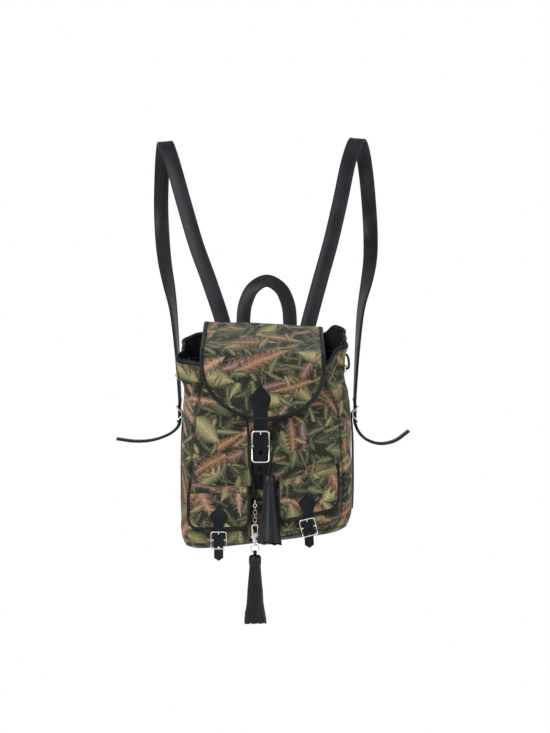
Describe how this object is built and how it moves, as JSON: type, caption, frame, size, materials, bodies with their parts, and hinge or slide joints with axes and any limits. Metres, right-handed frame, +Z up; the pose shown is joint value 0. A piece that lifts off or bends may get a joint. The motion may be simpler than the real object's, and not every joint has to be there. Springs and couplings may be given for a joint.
{
  "type": "drawstring backpack",
  "caption": "Small backpack of foliage tapestry with leather trim: buckled flap, two front pockets, drawstring mouth, carrying handle, shoulder straps and hanging tassels.",
  "frame": {"origin": "on the wearer's shoulders, midway between the crests of the two shoulder straps", "axes": "+Z up, +X to the right of a viewer who faces the flap, +Y from the flap towards the wearer's back"},
  "size_m": [0.3701, 0.2958, 0.6152],
  "materials": {
    "tapestry": "dark ground jacquard weave with a foliage pattern in olive, rust and mauve",
    "black_leather": "black grained leather with a soft bluish sheen",
    "lining": "plain black cotton",
    "nickel": "bright polished nickel plate",
    "lace": "thin round black leather lace"
  },
  "bodies": {
    "bag": {"front_panel": "tapestry", "side_gusset_left": "tapestry", "side_gusset_right": "tapestry", "back_panel": "tapestry", "base_panel": "tapestry", "flap": "tapestry", "pocket_body_left": "tapestry", "pocket_flap_left": "tapestry", "pocket_body_right": "tapestry", "pocket_flap_right": "tapestry", "lining": "lining", "mouth_binding": "black_leather", "flap_binding": "black_leather", "pocket_binding_left": "black_leather", "pocket_binding_right": "black_leather", "flap_strap": "black_leather", "buckle_chape": "black_leather", "pocket_strap_left": "black_leather", "pocket_strap_right": "black_leather", "pocket_chape_left": "black_leather", "pocket_chape_right": "black_leather", "handle": "black_leather", "shoulder_strap_left": "black_leather", "shoulder_strap_right": "black_leather", "anchor_strap_left": "black_leather", "anchor_strap_right": "black_leather", "tassel_head_right": "black_leather", "tassel_fringe_right": "black_leather", "drawstring": "lace", "lace_end_left": "lace", "lace_end_right": "lace", "eyelets": "nickel", "main_buckle_frame": "nickel", "pocket_buckle_frame_left": "nickel", "pocket_buckle_frame_right": "nickel", "side_buckle_frame_left": "nickel", "side_buckle_frame_right": "nickel", "cord_end": "nickel"},
    "main_prong": {"main_buckle_prong": "nickel"},
    "pocket_prong_left": {"pocket_buckle_prong_left": "nickel"},
    "pocket_prong_right": {"pocket_buckle_prong_right": "nickel"},
    "side_prong_left": {"side_buckle_prong_left": "nickel"},
    "side_prong_right": {"side_buckle_prong_right": "nickel"},
    "link_1": {"chain_link_1": "nickel"},
    "link_2": {"chain_link_2": "nickel"},
    "link_3": {"chain_link_3": "nickel"},
    "link_4": {"chain_link_4": "nickel"},
    "link_5": {"chain_link_5": "nickel"},
    "clasp": {"clasp_body": "nickel"},
    "trigger": {"clasp_trigger": "nickel"},
    "ring": {"tassel_ring": "nickel"},
    "tassel": {"tassel_head_left": "black_leather", "tassel_fringe_left": "black_leather"}
  },
  "joints": [
    {"name": "main_prong_hinge", "type": "hinge", "parent": "bag", "child": "main_prong", "pos_m": [-0.0036, -0.1793, -0.3934], "axis": [1, 0, 0], "range_deg": [0, 3]},
    {"name": "pocket_prong_left_hinge", "type": "hinge", "parent": "bag", "child": "pocket_prong_left", "pos_m": [-0.0536, -0.1982, -0.5047], "axis": [1, 0, 0], "range_deg": [0, 3]},
    {"name": "pocket_prong_right_hinge", "type": "hinge", "parent": "bag", "child": "pocket_prong_right", "pos_m": [0.0538, -0.1982, -0.4892], "axis": [0.9724, 0, 0.2334], "range_deg": [0, 3]},
    {"name": "side_prong_left_hinge", "type": "hinge", "parent": "bag", "child": "side_prong_left", "pos_m": [-0.1033, -0.093, -0.357], "axis": [0, -1, 0], "range_deg": [0, 3]},
    {"name": "side_prong_right_hinge", "type": "hinge", "parent": "bag", "child": "side_prong_right", "pos_m": [0.1113, -0.093, -0.357], "axis": [0, 1, 0], "range_deg": [0, 3]},
    {"name": "link_1_swing", "type": "hinge", "parent": "bag", "child": "link_1", "pos_m": [-0.0103, -0.188, -0.4665], "axis": [1, 0, 0], "range_deg": [-8, 0]},
    {"name": "link_2_swing", "type": "hinge", "parent": "link_1", "child": "link_2", "pos_m": [-0.0103, -0.188, -0.471], "axis": [0, 1, 0], "range_deg": [-2, 0]},
    {"name": "link_3_swing", "type": "hinge", "parent": "link_2", "child": "link_3", "pos_m": [-0.0103, -0.188, -0.4755], "axis": [1, 0, 0], "range_deg": [-8, 0]},
    {"name": "link_4_swing", "type": "hinge", "parent": "link_3", "child": "link_4", "pos_m": [-0.0103, -0.188, -0.48], "axis": [0, 1, 0], "range_deg": [-2, 0]},
    {"name": "link_5_swing", "type": "hinge", "parent": "link_4", "child": "link_5", "pos_m": [-0.0103, -0.188, -0.4845], "axis": [1, 0, 0], "range_deg": [-8, 0]},
    {"name": "clasp_swing", "type": "hinge", "parent": "link_5", "child": "clasp", "pos_m": [-0.0103, -0.188, -0.489], "axis": [0, 1, 0], "range_deg": [-2, 0]},
    {"name": "trigger_hinge", "type": "hinge", "parent": "clasp", "child": "trigger", "pos_m": [-0.0125, -0.188, -0.5005], "axis": [0, 1, 0], "range_deg": [0, 12], "stiffness_Nm_per_rad": 0.0004, "springref_deg": -20.05},
    {"name": "ring_swing", "type": "hinge", "parent": "clasp", "child": "ring", "pos_m": [-0.0103, -0.188, -0.5131], "axis": [0, 1, 0], "range_deg": [-20, 20]},
    {"name": "tassel_swing", "type": "hinge", "parent": "ring", "child": "tassel", "pos_m": [-0.0103, -0.188, -0.52105], "axis": [1, 0, 0], "range_deg": [-35, 15]}
  ]
}
